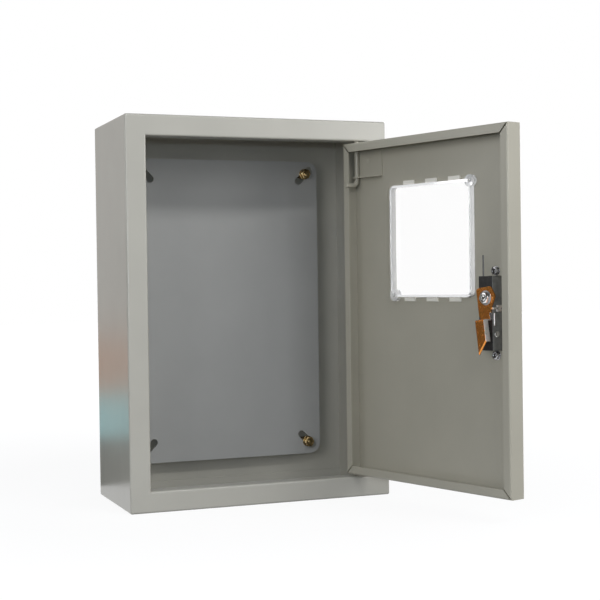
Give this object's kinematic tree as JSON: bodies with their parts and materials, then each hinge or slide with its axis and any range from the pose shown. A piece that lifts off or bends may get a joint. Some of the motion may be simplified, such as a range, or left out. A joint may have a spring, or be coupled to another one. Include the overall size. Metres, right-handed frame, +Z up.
{
  "type": "electric meter box",
  "caption": "Wall-mounted sheet-steel electric meter box with a hinged, windowed door, a quarter-turn lock and a mounting plate on studs inside.",
  "frame": {"origin": "centre of the wall-fixing holes, on the outside of the back wall", "axes": "+X to the right seen from the front, +Y from the front towards the wall, +Z up"},
  "size_m": [0.3303, 0.3524, 0.4],
  "materials": {
    "grey_coat": "satin warm light-grey powder coat",
    "plate_coat": "satin light-grey powder coat",
    "door_coat": "satin warm light-grey powder coat",
    "yellow_zinc": "yellow-chromated zinc plating",
    "cam_zinc": "yellow-chromated zinc plating with a brown cast",
    "clear_plastic": "clear moulded plastic",
    "lock_black": "dark-grey satin coat on a casting",
    "bright_steel": "bright nickel-plated steel",
    "spring_steel": "plain zinc-plated steel"
  },
  "bodies": {
    "cabinet": {"cabinet_shell": "grey_coat", "mounting_plate": "plate_coat", "plate_studs": "yellow_zinc", "plate_backing_nuts": "yellow_zinc", "plate_washers": "yellow_zinc", "plate_nuts": "yellow_zinc"},
    "door": {"door_panel": "door_coat", "hinge_bracket": "door_coat", "hinge_pin_upper": "door_coat", "hinge_pin_lower": "door_coat", "window_pane": "clear_plastic", "lock_body": "lock_black", "lock_fixing_screws": "bright_steel", "lock_fixing_washers": "bright_steel", "lock_fixing_nuts": "bright_steel", "lock_side_clip": "bright_steel", "lock_spring_strip": "bright_steel", "lock_side_screw": "bright_steel", "lock_spring_leg": "spring_steel"},
    "latch": {"lock_spindle": "spring_steel", "lock_cam": "cam_zinc", "cam_washer": "spring_steel", "cam_screw": "bright_steel", "lock_handle": "lock_black"}
  },
  "joints": [
    {"name": "door_swing", "type": "hinge", "parent": "cabinet", "child": "door", "pos_m": [0.1108, -0.1299, 0], "axis": [0, 0, 1], "range_deg": [-106.7, 13.3]},
    {"name": "latch_turn", "type": "hinge", "parent": "door", "child": "latch", "pos_m": [0.17238, -0.31741, 0.0126], "axis": [-0.9578, -0.2874, 0], "range_deg": [-8, 82]}
  ]
}
